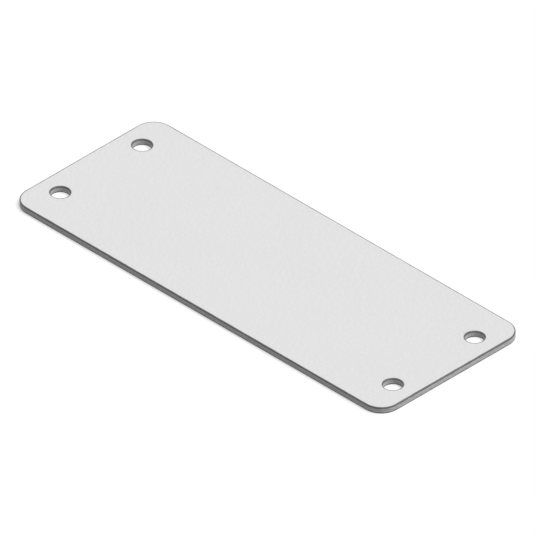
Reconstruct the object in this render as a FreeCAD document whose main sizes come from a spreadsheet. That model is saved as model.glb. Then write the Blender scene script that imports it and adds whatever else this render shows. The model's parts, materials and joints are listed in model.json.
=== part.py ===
import FreeCAD, Part
import Sketcher
import math
import os

# A flat rectangular cover plate, cut in one piece from sheet steel, with rounded corners and a
# plain screw hole near each corner. It screws down over a rectangular cut-out in a panel and
# closes it. All sizes are in millimetres. The face that lies on the panel is centred on the
# origin at Z = 0, the long side runs along X, and the outer face looks up along +Z.

# The hole pitches belong to the panel that the plate is screwed to. The plate then reaches past
# the hole centres by the two margins, so its outline follows the pitches.
DRIVING_DIMENSIONS = [
    ("hole_pitch_long", 130.0, "between hole centres along the plate"),
    ("hole_pitch_short", 32.0, "between hole centres across the plate"),
    ("hole_diameter", 5.5, "clearance hole for an M5 screw"),
    ("end_margin", 7.5, "from a hole centre to the nearer short edge"),
    ("side_margin", 12.0, "from a hole centre to the nearer long edge"),
    ("corner_radius", 6.0, "of the outline, at all four corners"),
    ("thickness", 2.0, "of the sheet"),
    ("edge_radius", 0.25, "of the deburred rims, round the outline and at both ends of each hole"),
]

# The outline's sides, which follow from the driving sizes.
PLATE_LENGTH = "Dimensions.hole_pitch_long + 2 * Dimensions.end_margin"
PLATE_WIDTH = "Dimensions.hole_pitch_short + 2 * Dimensions.side_margin"

# The four holes, as steps along and across the plate from its middle, anticlockwise from the front.
HOLE_CORNERS = [(-1, -1), (1, -1), (1, 1), (-1, 1)]

# The points of a line, an arc or a circle that a constraint can hold, and the origin as such a point.
START, END, CENTRE = 1, 2, 3
ORIGIN = (-1, 1)

UP = FreeCAD.Vector(0, 0, 1)
PARTS_FOLDER = "parts"
VOLUME_TOLERANCE = 1e-6


def add_dimensions(doc):
    """Puts the driving dimensions in a sheet, one to a row: its name, its size and what it is."""
    sheet = doc.addObject("Spreadsheet::Sheet", "Dimensions")
    for row, (alias, size, meaning) in enumerate(DRIVING_DIMENSIONS, start=1):
        sheet.set(f"A{row}", alias)
        sheet.set(f"B{row}", str(size))
        sheet.setAlias(f"B{row}", alias)
        sheet.set(f"C{row}", meaning)
    doc.recompute()
    return sheet


def add_sketch(body, name):
    """An empty sketch on the body's own XY plane."""
    sketch = body.newObject("Sketcher::SketchObject", name)
    plane = next(item for item in body.Origin.OriginFeatures if item.Role == "XY_Plane")
    sketch.AttachmentSupport = (plane, [""])
    sketch.MapMode = "FlatFace"
    return sketch


def bind(sketch, name, kind, *places, size, expression):
    """Adds a named dimension to the sketch and ties it to the driving dimensions."""
    index = sketch.addConstraint(Sketcher.Constraint(kind, *places, size))
    sketch.renameConstraint(index, name)
    sketch.setExpression(f"Constraints.{name}", expression)


def draw_outline(sketch, sizes):
    """The rounded rectangle: four sides with an arc after each, anticlockwise from the front."""
    radius = sizes.corner_radius
    half_length = sizes.hole_pitch_long / 2 + sizes.end_margin
    half_width = sizes.hole_pitch_short / 2 + sizes.side_margin
    flat_x = half_length - radius
    flat_y = half_width - radius
    ends = [
        ((-flat_x, -half_width), (flat_x, -half_width), (flat_x, -flat_y)),
        ((half_length, -flat_y), (half_length, flat_y), (flat_x, flat_y)),
        ((flat_x, half_width), (-flat_x, half_width), (-flat_x, flat_y)),
        ((-half_length, flat_y), (-half_length, -flat_y), (-flat_x, -flat_y)),
    ]
    sides = []
    arcs = []
    for turn, (start, end, centre) in enumerate(ends):
        line = Part.LineSegment(FreeCAD.Vector(*start, 0), FreeCAD.Vector(*end, 0))
        sides.append(sketch.addGeometry(line))
        circle = Part.Circle(FreeCAD.Vector(*centre, 0), UP, radius)
        first_angle = math.radians(90 * (turn - 1))
        arc = Part.ArcOfCircle(circle, first_angle, first_angle + math.pi / 2)
        arcs.append(sketch.addGeometry(arc))
    for turn, side in enumerate(sides):
        following = sides[(turn + 1) % len(sides)]
        sketch.addConstraint(Sketcher.Constraint("Tangent", side, END, arcs[turn], START))
        sketch.addConstraint(Sketcher.Constraint("Tangent", arcs[turn], END, following, START))
        direction = "Vertical" if turn % 2 else "Horizontal"
        sketch.addConstraint(Sketcher.Constraint(direction, side))
    for arc in arcs[1:]:
        sketch.addConstraint(Sketcher.Constraint("Equal", arcs[0], arc))
    front, right, back, left = sides
    sketch.addConstraint(Sketcher.Constraint("Symmetric", arcs[0], CENTRE, arcs[2], CENTRE, *ORIGIN))
    bind(sketch, "corner_radius", "Radius", arcs[0],
         size=radius, expression="Dimensions.corner_radius")
    bind(sketch, "plate_length", "DistanceX", left, START, right, START,
         size=2 * half_length, expression=PLATE_LENGTH)
    bind(sketch, "plate_width", "DistanceY", front, START, back, START,
         size=2 * half_width, expression=PLATE_WIDTH)


def draw_holes(sketch, sizes):
    """A circle at each corner of a rectangle that is centred on the origin."""
    half_long = sizes.hole_pitch_long / 2
    half_short = sizes.hole_pitch_short / 2
    circles = []
    for along, across in HOLE_CORNERS:
        centre = FreeCAD.Vector(along * half_long, across * half_short, 0)
        circle = Part.Circle(centre, UP, sizes.hole_diameter / 2)
        circles.append(sketch.addGeometry(circle))
    for turn, circle in enumerate(circles):
        following = circles[(turn + 1) % len(circles)]
        direction = "Vertical" if turn % 2 else "Horizontal"
        sketch.addConstraint(Sketcher.Constraint(direction, circle, CENTRE, following, CENTRE))
    for circle in circles[1:]:
        sketch.addConstraint(Sketcher.Constraint("Equal", circles[0], circle))
    front_left, front_right, back_right = circles[:3]
    sketch.addConstraint(
        Sketcher.Constraint("Symmetric", front_left, CENTRE, back_right, CENTRE, *ORIGIN))
    bind(sketch, "hole_diameter", "Diameter", front_left,
         size=sizes.hole_diameter, expression="Dimensions.hole_diameter")
    bind(sketch, "hole_pitch_long", "DistanceX", front_left, CENTRE, front_right, CENTRE,
         size=sizes.hole_pitch_long, expression="Dimensions.hole_pitch_long")
    bind(sketch, "hole_pitch_short", "DistanceY", front_right, CENTRE, back_right, CENTRE,
         size=sizes.hole_pitch_short, expression="Dimensions.hole_pitch_short")


def broad_faces(shape):
    """The names of the outer face and the back face. Their borders are all the plate's rims."""
    return [
        f"Face{number}"
        for number, face in enumerate(shape.Faces, start=1)
        if math.isclose(abs(face.normalAt(0, 0).z), 1)
    ]


def build_cover_plate(doc, sizes):
    """The plate as it is made: a blank cut from sheet, the holes through it, the edges broken."""
    body = doc.addObject("PartDesign::Body", "CoverPlate")
    body.Label = "cover_plate"

    outline = add_sketch(body, "Outline")
    draw_outline(outline, sizes)
    blank = body.newObject("PartDesign::Pad", "Blank")
    blank.Profile = outline
    blank.setExpression("Length", "Dimensions.thickness")
    doc.recompute()

    hole_plan = add_sketch(body, "HolePlan")
    draw_holes(hole_plan, sizes)
    screw_holes = body.newObject("PartDesign::Hole", "ScrewHoles")
    screw_holes.Profile = hole_plan
    doc.recompute()
    screw_holes.DepthType = "ThroughAll"
    screw_holes.Reversed = True
    screw_holes.setExpression("Diameter", "Dimensions.hole_diameter")
    doc.recompute()

    deburred = body.newObject("PartDesign::Fillet", "DeburredEdges")
    deburred.Base = (screw_holes, broad_faces(screw_holes.Shape))
    deburred.setExpression("Radius", "Dimensions.edge_radius")
    body.Tip = deburred
    doc.recompute()

    check_holes(blank, screw_holes, sizes)
    return body


def check_holes(blank, drilled, sizes):
    """Stops the script unless the holes took just one round slug each out of the blank."""
    slug = math.pi * (sizes.hole_diameter / 2) ** 2 * sizes.thickness
    slugs = len(HOLE_CORNERS) * slug
    removed = blank.Shape.Volume - drilled.Shape.Volume
    if abs(removed - slugs) > VOLUME_TOLERANCE * blank.Shape.Volume:
        raise RuntimeError(f"the holes removed {removed} and not {slugs} cubic millimetres")


def check_document(doc, bodies):
    """Stops the script if an object failed, a sketch is loose, or a body isn't one good solid."""
    for item in doc.Objects:
        if {"Invalid", "Error"} & set(item.State):
            raise RuntimeError(f"{item.Label} failed: {item.State}")
        if item.TypeId == "Sketcher::SketchObject" and not item.FullyConstrained:
            raise RuntimeError(f"the sketch {item.Label} isn't fully constrained")
    for body in bodies:
        shape = body.Shape
        if shape.isNull() or not shape.isValid() or len(shape.Solids) != 1:
            raise RuntimeError(f"{body.Label} isn't one valid solid")


def main():
    doc = FreeCAD.newDocument("CoverPlate")
    sizes = add_dimensions(doc)
    bodies = [build_cover_plate(doc, sizes)]
    check_document(doc, bodies)
    os.makedirs(PARTS_FOLDER, exist_ok=True)
    for body in bodies:
        body.Shape.exportStep(os.path.join(PARTS_FOLDER, f"{body.Label}.step"))
        box = body.Shape.optimalBoundingBox()
        print(f"{body.Label}: {box.XLength:.3f} x {box.YLength:.3f} x {box.ZLength:.3f} mm,"
              f" {body.Shape.Volume:.1f} mm3")


main()
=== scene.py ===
import json
import math

import bpy
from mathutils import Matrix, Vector


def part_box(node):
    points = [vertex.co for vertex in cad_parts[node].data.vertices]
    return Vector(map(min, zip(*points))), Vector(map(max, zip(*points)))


# The looks of a flat rectangular cover plate: sheet steel with a light grey powder coat, which
# lies on a white studio floor with its outer face up. The plate itself is the frame's one piece.

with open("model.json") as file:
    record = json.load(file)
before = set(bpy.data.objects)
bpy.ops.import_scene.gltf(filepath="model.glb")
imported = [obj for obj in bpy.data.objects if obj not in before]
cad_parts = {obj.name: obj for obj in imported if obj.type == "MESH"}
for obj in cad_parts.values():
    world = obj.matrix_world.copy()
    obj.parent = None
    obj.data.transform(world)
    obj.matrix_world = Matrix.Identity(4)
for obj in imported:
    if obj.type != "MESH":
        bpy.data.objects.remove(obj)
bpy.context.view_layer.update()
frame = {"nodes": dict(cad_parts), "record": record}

MM = 0.001
WHITE = "#FFFFFF"

# The plate's own sizes, from the frame, and the one that the frame doesn't state.
PLATE_LOW, PLATE_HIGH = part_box("cover_plate")
THICKNESS = PLATE_HIGH.z - PLATE_LOW.z
HOLES = next(mount["dims"] for mount in frame["record"]["mounts"] if mount["name"] == "screw_holes")
HOLE_CENTRE = Vector((HOLES["spacing_x_mm"], HOLES["spacing_y_mm"], 0)) * MM / 2
HOLE_RADIUS = HOLES["hole_r_mm"] * MM
CORNER_RADIUS = 6 * MM
CORNER_CENTRE = Vector((PLATE_HIGH.x - CORNER_RADIUS, PLATE_HIGH.y - CORNER_RADIUS, 0))

# The powder coat: its tones where the film is thin and where it is thick, the dark steel that shows
# through it on the rims, and its sheen.
THIN_FILM = "#E1E1E1"
THICK_FILM = "#E5E5E5"
STEEL_THROUGH_FILM = "#666666"
FILM_IOR = 1.5
FILM_SMOOTHEST = 0.44
FILM_ROUGHEST = 0.56

# The film's thickness drifts over patches of this size.
DRIFT_SIZE = 28 * MM

# It is thicker within the first distance of a rim, and at its thickest within the second.
BORDER_WIDTH = 3 * MM
BORDER_FULL = 0.5 * MM

# On the rims themselves it draws back. Measured from the sharp edge that the rounding took away, it
# is thinner within the first distance, and the steel shows within the second. Both wander outwards
# by up to the third, over stretches of about the fourth.
DRAW_BACK = 0.4 * MM
BARE_WIDTH = 0.15 * MM
WANDER_DEPTH = 0.2 * MM
WANDER_LENGTH = 3 * MM

# Orange peel: dimples this far apart, which are deeper by this factor where the film is thick. They
# come out at about 0.03 mm deep, twice what is real, because less would not show.
PEEL_SPACING = 1.1 * MM
PEEL_HEIGHT = 0.08 * MM
PEEL_IN_BORDER = 1.5

# The powder's own grain, drawn at this size because the real 0.05 mm would not show.
GRAIN_SIZE = 0.35 * MM
GRAIN_HEIGHT = 0.035 * MM

# The view: a drawing in parallel projection at the isometric angle. The scale and the place of the
# middle of the outer face were fitted to its outlines, in pixels from the top left corner.
PHOTO_SIDE = 536
PIXELS_PER_MM = 3.618
FACE_MIDDLE_RIGHT = 267.56
FACE_MIDDLE_DOWN = 264.63
AZIMUTH = math.radians(45)
ELEVATION = math.atan(1 / math.sqrt(2))
CAMERA_DISTANCE = 1.0

# The light: an even pale room, and a soft key light from above the picture's right-hand side.
ROOM_LEVEL = 0.2
KEY_LEVEL = 2.62
KEY_ELEVATION = math.radians(68)
KEY_BEARING = math.radians(35)
KEY_SPREAD = math.radians(35)

# What the eye sees round the plate: a white room, and a floor whose white is part paint and part
# glow. The paint alone comes out a little under white in this light, so the glow is a little over.
ROOM_WHITE = 1.0
FLOOR_SIDE = 6.0
FLOOR_GLOW = 1.06
GLOW_SHARE = 0.5

# What the floor is to the plate, as a source of light.
FLOOR_GREY = "#777777"

# A Mix node has more than one socket of each name, so its colour ones go by their place.
MIX_A = 6
MIX_B = 7
MIX_RESULT = 2


def linear(hex_colour):
    """An sRGB hex colour as the linear RGBA that the nodes take."""
    channels = [int(hex_colour[start:start + 2], 16) / 255 for start in (1, 3, 5)]
    levels = [c / 12.92 if c <= 0.04045 else ((c + 0.055) / 1.055) ** 2.4 for c in channels]
    return levels + [1.0]


def empty_tree(owner):
    """The node tree of a new material or world, with nothing in it yet."""
    owner.use_nodes = True
    owner.node_tree.nodes.clear()
    return owner.node_tree


def add_node(tree, kind, sockets=None, **settings):
    """Adds a node with its settings. Each socket gets a value, or a link from another node."""
    node = tree.nodes.new(kind)
    for name, value in settings.items():
        setattr(node, name, value)
    for name, value in (sockets or {}).items():
        if isinstance(value, bpy.types.NodeSocket):
            tree.links.new(value, node.inputs[name])
        else:
            node.inputs[name].default_value = value
    return node


def rim_distances(tree, place):
    """Two distances in metres: across the face from the nearest rim, and down from that face."""
    # The plate's four quarters are alike, so each point is folded into one of them.
    flat = add_node(tree, "ShaderNodeVectorMath", {0: place, 1: (1, 1, 0)}, operation="MULTIPLY")
    quarter = add_node(tree, "ShaderNodeVectorMath", {0: flat.outputs[0]}, operation="ABSOLUTE")

    # The outline is all that lies one corner radius from the box between the corners' centres.
    past_corner = add_node(
        tree, "ShaderNodeVectorMath",
        {0: quarter.outputs[0], 1: CORNER_CENTRE},
        operation="SUBTRACT")
    outwards = add_node(
        tree, "ShaderNodeVectorMath",
        {0: past_corner.outputs[0], 1: (0, 0, 0)},
        operation="MAXIMUM")
    reach = add_node(tree, "ShaderNodeVectorMath", {0: outwards.outputs[0]}, operation="LENGTH")
    from_outline = add_node(
        tree, "ShaderNodeMath",
        {0: CORNER_RADIUS, 1: reach.outputs["Value"]},
        operation="SUBTRACT")

    hole_reach = add_node(
        tree, "ShaderNodeVectorMath",
        {0: quarter.outputs[0], 1: HOLE_CENTRE},
        operation="DISTANCE")
    from_hole = add_node(
        tree, "ShaderNodeMath",
        {0: hole_reach.outputs["Value"], 1: HOLE_RADIUS},
        operation="SUBTRACT")
    across = add_node(
        tree, "ShaderNodeMath",
        {0: from_outline.outputs[0], 1: from_hole.outputs[0]},
        operation="MINIMUM")

    height = add_node(tree, "ShaderNodeSeparateXYZ", {0: place})
    off_middle = add_node(
        tree, "ShaderNodeMath",
        {0: height.outputs["Z"], 1: THICKNESS / 2},
        operation="SUBTRACT")
    from_middle = add_node(tree, "ShaderNodeMath", {0: off_middle.outputs[0]}, operation="ABSOLUTE")
    down = add_node(
        tree, "ShaderNodeMath",
        {0: THICKNESS / 2, 1: from_middle.outputs[0]},
        operation="SUBTRACT")
    return across.outputs[0], down.outputs[0]


def coat_colour(tree, place, across, down):
    """The film's tone, which drifts with its thickness, and the steel that shows on the rims."""
    drift = add_node(
        tree, "ShaderNodeTexNoise",
        {"Vector": place, "Scale": 1 / DRIFT_SIZE, "Detail": 2.0})
    film = add_node(
        tree, "ShaderNodeMix",
        {"Factor": drift.outputs["Fac"], MIX_A: linear(THIN_FILM), MIX_B: linear(THICK_FILM)},
        data_type="RGBA")

    # The film draws back from the rims while it melts, to a line that wanders a little.
    from_edge = add_node(tree, "ShaderNodeMath", {0: across, 1: down}, operation="ADD")
    wander = add_node(
        tree, "ShaderNodeTexNoise",
        {"Vector": place, "Scale": 1 / WANDER_LENGTH, "Detail": 2.0})
    from_line = add_node(
        tree, "ShaderNodeMath",
        {0: wander.outputs["Fac"], 1: -WANDER_DEPTH, 2: from_edge.outputs[0]},
        operation="MULTIPLY_ADD")
    bareness = add_node(
        tree, "ShaderNodeMapRange",
        {"Value": from_line.outputs[0], "From Min": DRAW_BACK, "From Max": BARE_WIDTH},
        interpolation_type="SMOOTHSTEP")
    colour = add_node(
        tree, "ShaderNodeMix",
        {"Factor": bareness.outputs["Result"],
         MIX_A: film.outputs[MIX_RESULT],
         MIX_B: linear(STEEL_THROUGH_FILM)},
        data_type="RGBA")
    return colour.outputs[MIX_RESULT]


def coat_relief(tree, place, across, grain):
    """The normals of the coat: round dimples of orange peel, with the powder's grain on them."""
    # The spray's charge gathers powder near the rims, so the film is thicker in a border there.
    depth = add_node(
        tree, "ShaderNodeMapRange",
        {"Value": across, "From Min": BORDER_WIDTH, "From Max": BORDER_FULL,
         "To Min": 1.0, "To Max": PEEL_IN_BORDER},
        interpolation_type="SMOOTHSTEP")
    peel = add_node(
        tree, "ShaderNodeTexVoronoi",
        {"Vector": place, "Scale": 1 / PEEL_SPACING, "Smoothness": 1.0},
        feature="SMOOTH_F1")
    dimples = add_node(
        tree, "ShaderNodeMath",
        {0: peel.outputs["Distance"], 1: depth.outputs["Result"]},
        operation="MULTIPLY")
    peel_bump = add_node(
        tree, "ShaderNodeBump",
        {"Strength": 1.0, "Distance": PEEL_HEIGHT, "Height": dimples.outputs[0]})
    grain_bump = add_node(
        tree, "ShaderNodeBump",
        {"Strength": 1.0, "Distance": GRAIN_HEIGHT, "Height": grain,
         "Normal": peel_bump.outputs["Normal"]})
    return grain_bump.outputs["Normal"]


def powder_coated_steel():
    """Polyester powder, sprayed on and baked to a satin skin of about 80 microns.

    It gives the eye an even, slightly soft sheen over the faint dimples of orange peel, a tone that
    drifts a little with the thickness of the film, and dark rims where the melted film draws thin.
    """
    material = bpy.data.materials.new("powder_coated_steel")
    tree = empty_tree(material)
    # Object coordinates are in metres, so a pattern's scale is one over its size.
    place = add_node(tree, "ShaderNodeTexCoord").outputs["Object"]
    across, down = rim_distances(tree, place)
    grain = add_node(
        tree, "ShaderNodeTexNoise",
        {"Vector": place, "Scale": 1 / GRAIN_SIZE, "Detail": 1.0})
    roughness = add_node(
        tree, "ShaderNodeMapRange",
        {"Value": grain.outputs["Fac"], "To Min": FILM_SMOOTHEST, "To Max": FILM_ROUGHEST})
    skin = add_node(
        tree, "ShaderNodeBsdfPrincipled",
        {"Base Color": coat_colour(tree, place, across, down),
         "Roughness": roughness.outputs["Result"],
         "IOR": FILM_IOR,
         "Normal": coat_relief(tree, place, across, grain.outputs["Fac"])})
    add_node(tree, "ShaderNodeOutputMaterial", {"Surface": skin.outputs["BSDF"]})
    return material


def seen_directly(tree):
    """1 for the rays that show the studio itself: to the camera, in a gloss and through glass."""
    path = add_node(tree, "ShaderNodeLightPath")
    seen_or_mirrored = add_node(
        tree, "ShaderNodeMath",
        {0: path.outputs["Is Camera Ray"], 1: path.outputs["Is Glossy Ray"]},
        operation="ADD")
    shown = add_node(
        tree, "ShaderNodeMath",
        {0: seen_or_mirrored.outputs[0], 1: path.outputs["Is Transmission Ray"]},
        operation="ADD", use_clamp=True)
    return shown.outputs[0]


def white_floor():
    """Matt white to look at, with the plate's shadow on it, and mid grey as a source of light.

    Part of that white is a glow that only the eye sees, so that the shadow stays faint.
    """
    material = bpy.data.materials.new("white_floor")
    tree = empty_tree(material)
    grey = add_node(tree, "ShaderNodeBsdfDiffuse", {"Color": linear(FLOOR_GREY)})
    paint = add_node(tree, "ShaderNodeBsdfDiffuse", {"Color": linear(WHITE)})
    glow = add_node(tree, "ShaderNodeEmission", {"Strength": FLOOR_GLOW, "Color": linear(WHITE)})
    shown = add_node(
        tree, "ShaderNodeMixShader",
        {0: GLOW_SHARE, 1: paint.outputs[0], 2: glow.outputs[0]})
    surface = add_node(
        tree, "ShaderNodeMixShader",
        {0: seen_directly(tree), 1: grey.outputs[0], 2: shown.outputs[0]})
    add_node(tree, "ShaderNodeOutputMaterial", {"Surface": surface.outputs[0]})
    return material


def lay_floor():
    """A wide floor at the level of the plate's back face."""
    bpy.ops.mesh.primitive_plane_add(size=FLOOR_SIDE, location=(0, 0, PLATE_LOW.z))
    floor = bpy.context.object
    floor.name = "studio_floor"
    floor.data.materials.append(white_floor())


def light_room():
    """The pale room all round, which lights the plate softly and looks white behind it."""
    world = bpy.data.worlds.new("pale_room")
    bpy.context.scene.world = world
    tree = empty_tree(world)
    light = add_node(
        tree, "ShaderNodeBackground", {"Strength": ROOM_LEVEL, "Color": linear(WHITE)})
    white = add_node(
        tree, "ShaderNodeBackground", {"Strength": ROOM_WHITE, "Color": linear(WHITE)})
    surface = add_node(
        tree, "ShaderNodeMixShader",
        {0: seen_directly(tree), 1: light.outputs[0], 2: white.outputs[0]})
    add_node(tree, "ShaderNodeOutputWorld", {"Surface": surface.outputs[0]})


def hang_key_light():
    """A broad, soft light that falls steeply on the outer face, from the picture's right."""
    bpy.ops.object.light_add(type="SUN")
    key = bpy.context.object
    key.name = "key_light"
    towards_light = Vector((
        math.cos(KEY_ELEVATION) * math.cos(KEY_BEARING),
        math.cos(KEY_ELEVATION) * math.sin(KEY_BEARING),
        math.sin(KEY_ELEVATION),
    ))
    key.rotation_euler = towards_light.to_track_quat("Z", "Y").to_euler()
    key.data.energy = KEY_LEVEL
    key.data.angle = KEY_SPREAD


def set_camera():
    """A parallel view of the outer face, with its middle where the drawing has it."""
    bpy.ops.object.camera_add(rotation=(math.pi / 2 - ELEVATION, 0, AZIMUTH))
    camera = bpy.context.object
    camera.name = "drawing_view"
    camera.data.type = "ORTHO"
    camera.data.ortho_scale = PHOTO_SIDE / PIXELS_PER_MM * MM
    right_of_centre = (FACE_MIDDLE_RIGHT - PHOTO_SIDE / 2) / PIXELS_PER_MM * MM
    above_centre = (PHOTO_SIDE / 2 - FACE_MIDDLE_DOWN) / PIXELS_PER_MM * MM
    face_middle = Vector((0, 0, PLATE_HIGH.z))
    turn = camera.rotation_euler.to_matrix()
    camera.location = face_middle - turn @ Vector((right_of_centre, above_centre, -CAMERA_DISTANCE))
    bpy.context.scene.camera = camera


def main():
    """Coats the plate, and sets up the studio and the camera round it."""
    bpy.ops.object.select_all(action="DESELECT")
    frame["nodes"]["cover_plate"].material_slots[0].material = powder_coated_steel()
    lay_floor()
    light_room()
    hang_key_light()
    set_camera()
    bpy.context.scene.view_settings.view_transform = "Standard"


main()
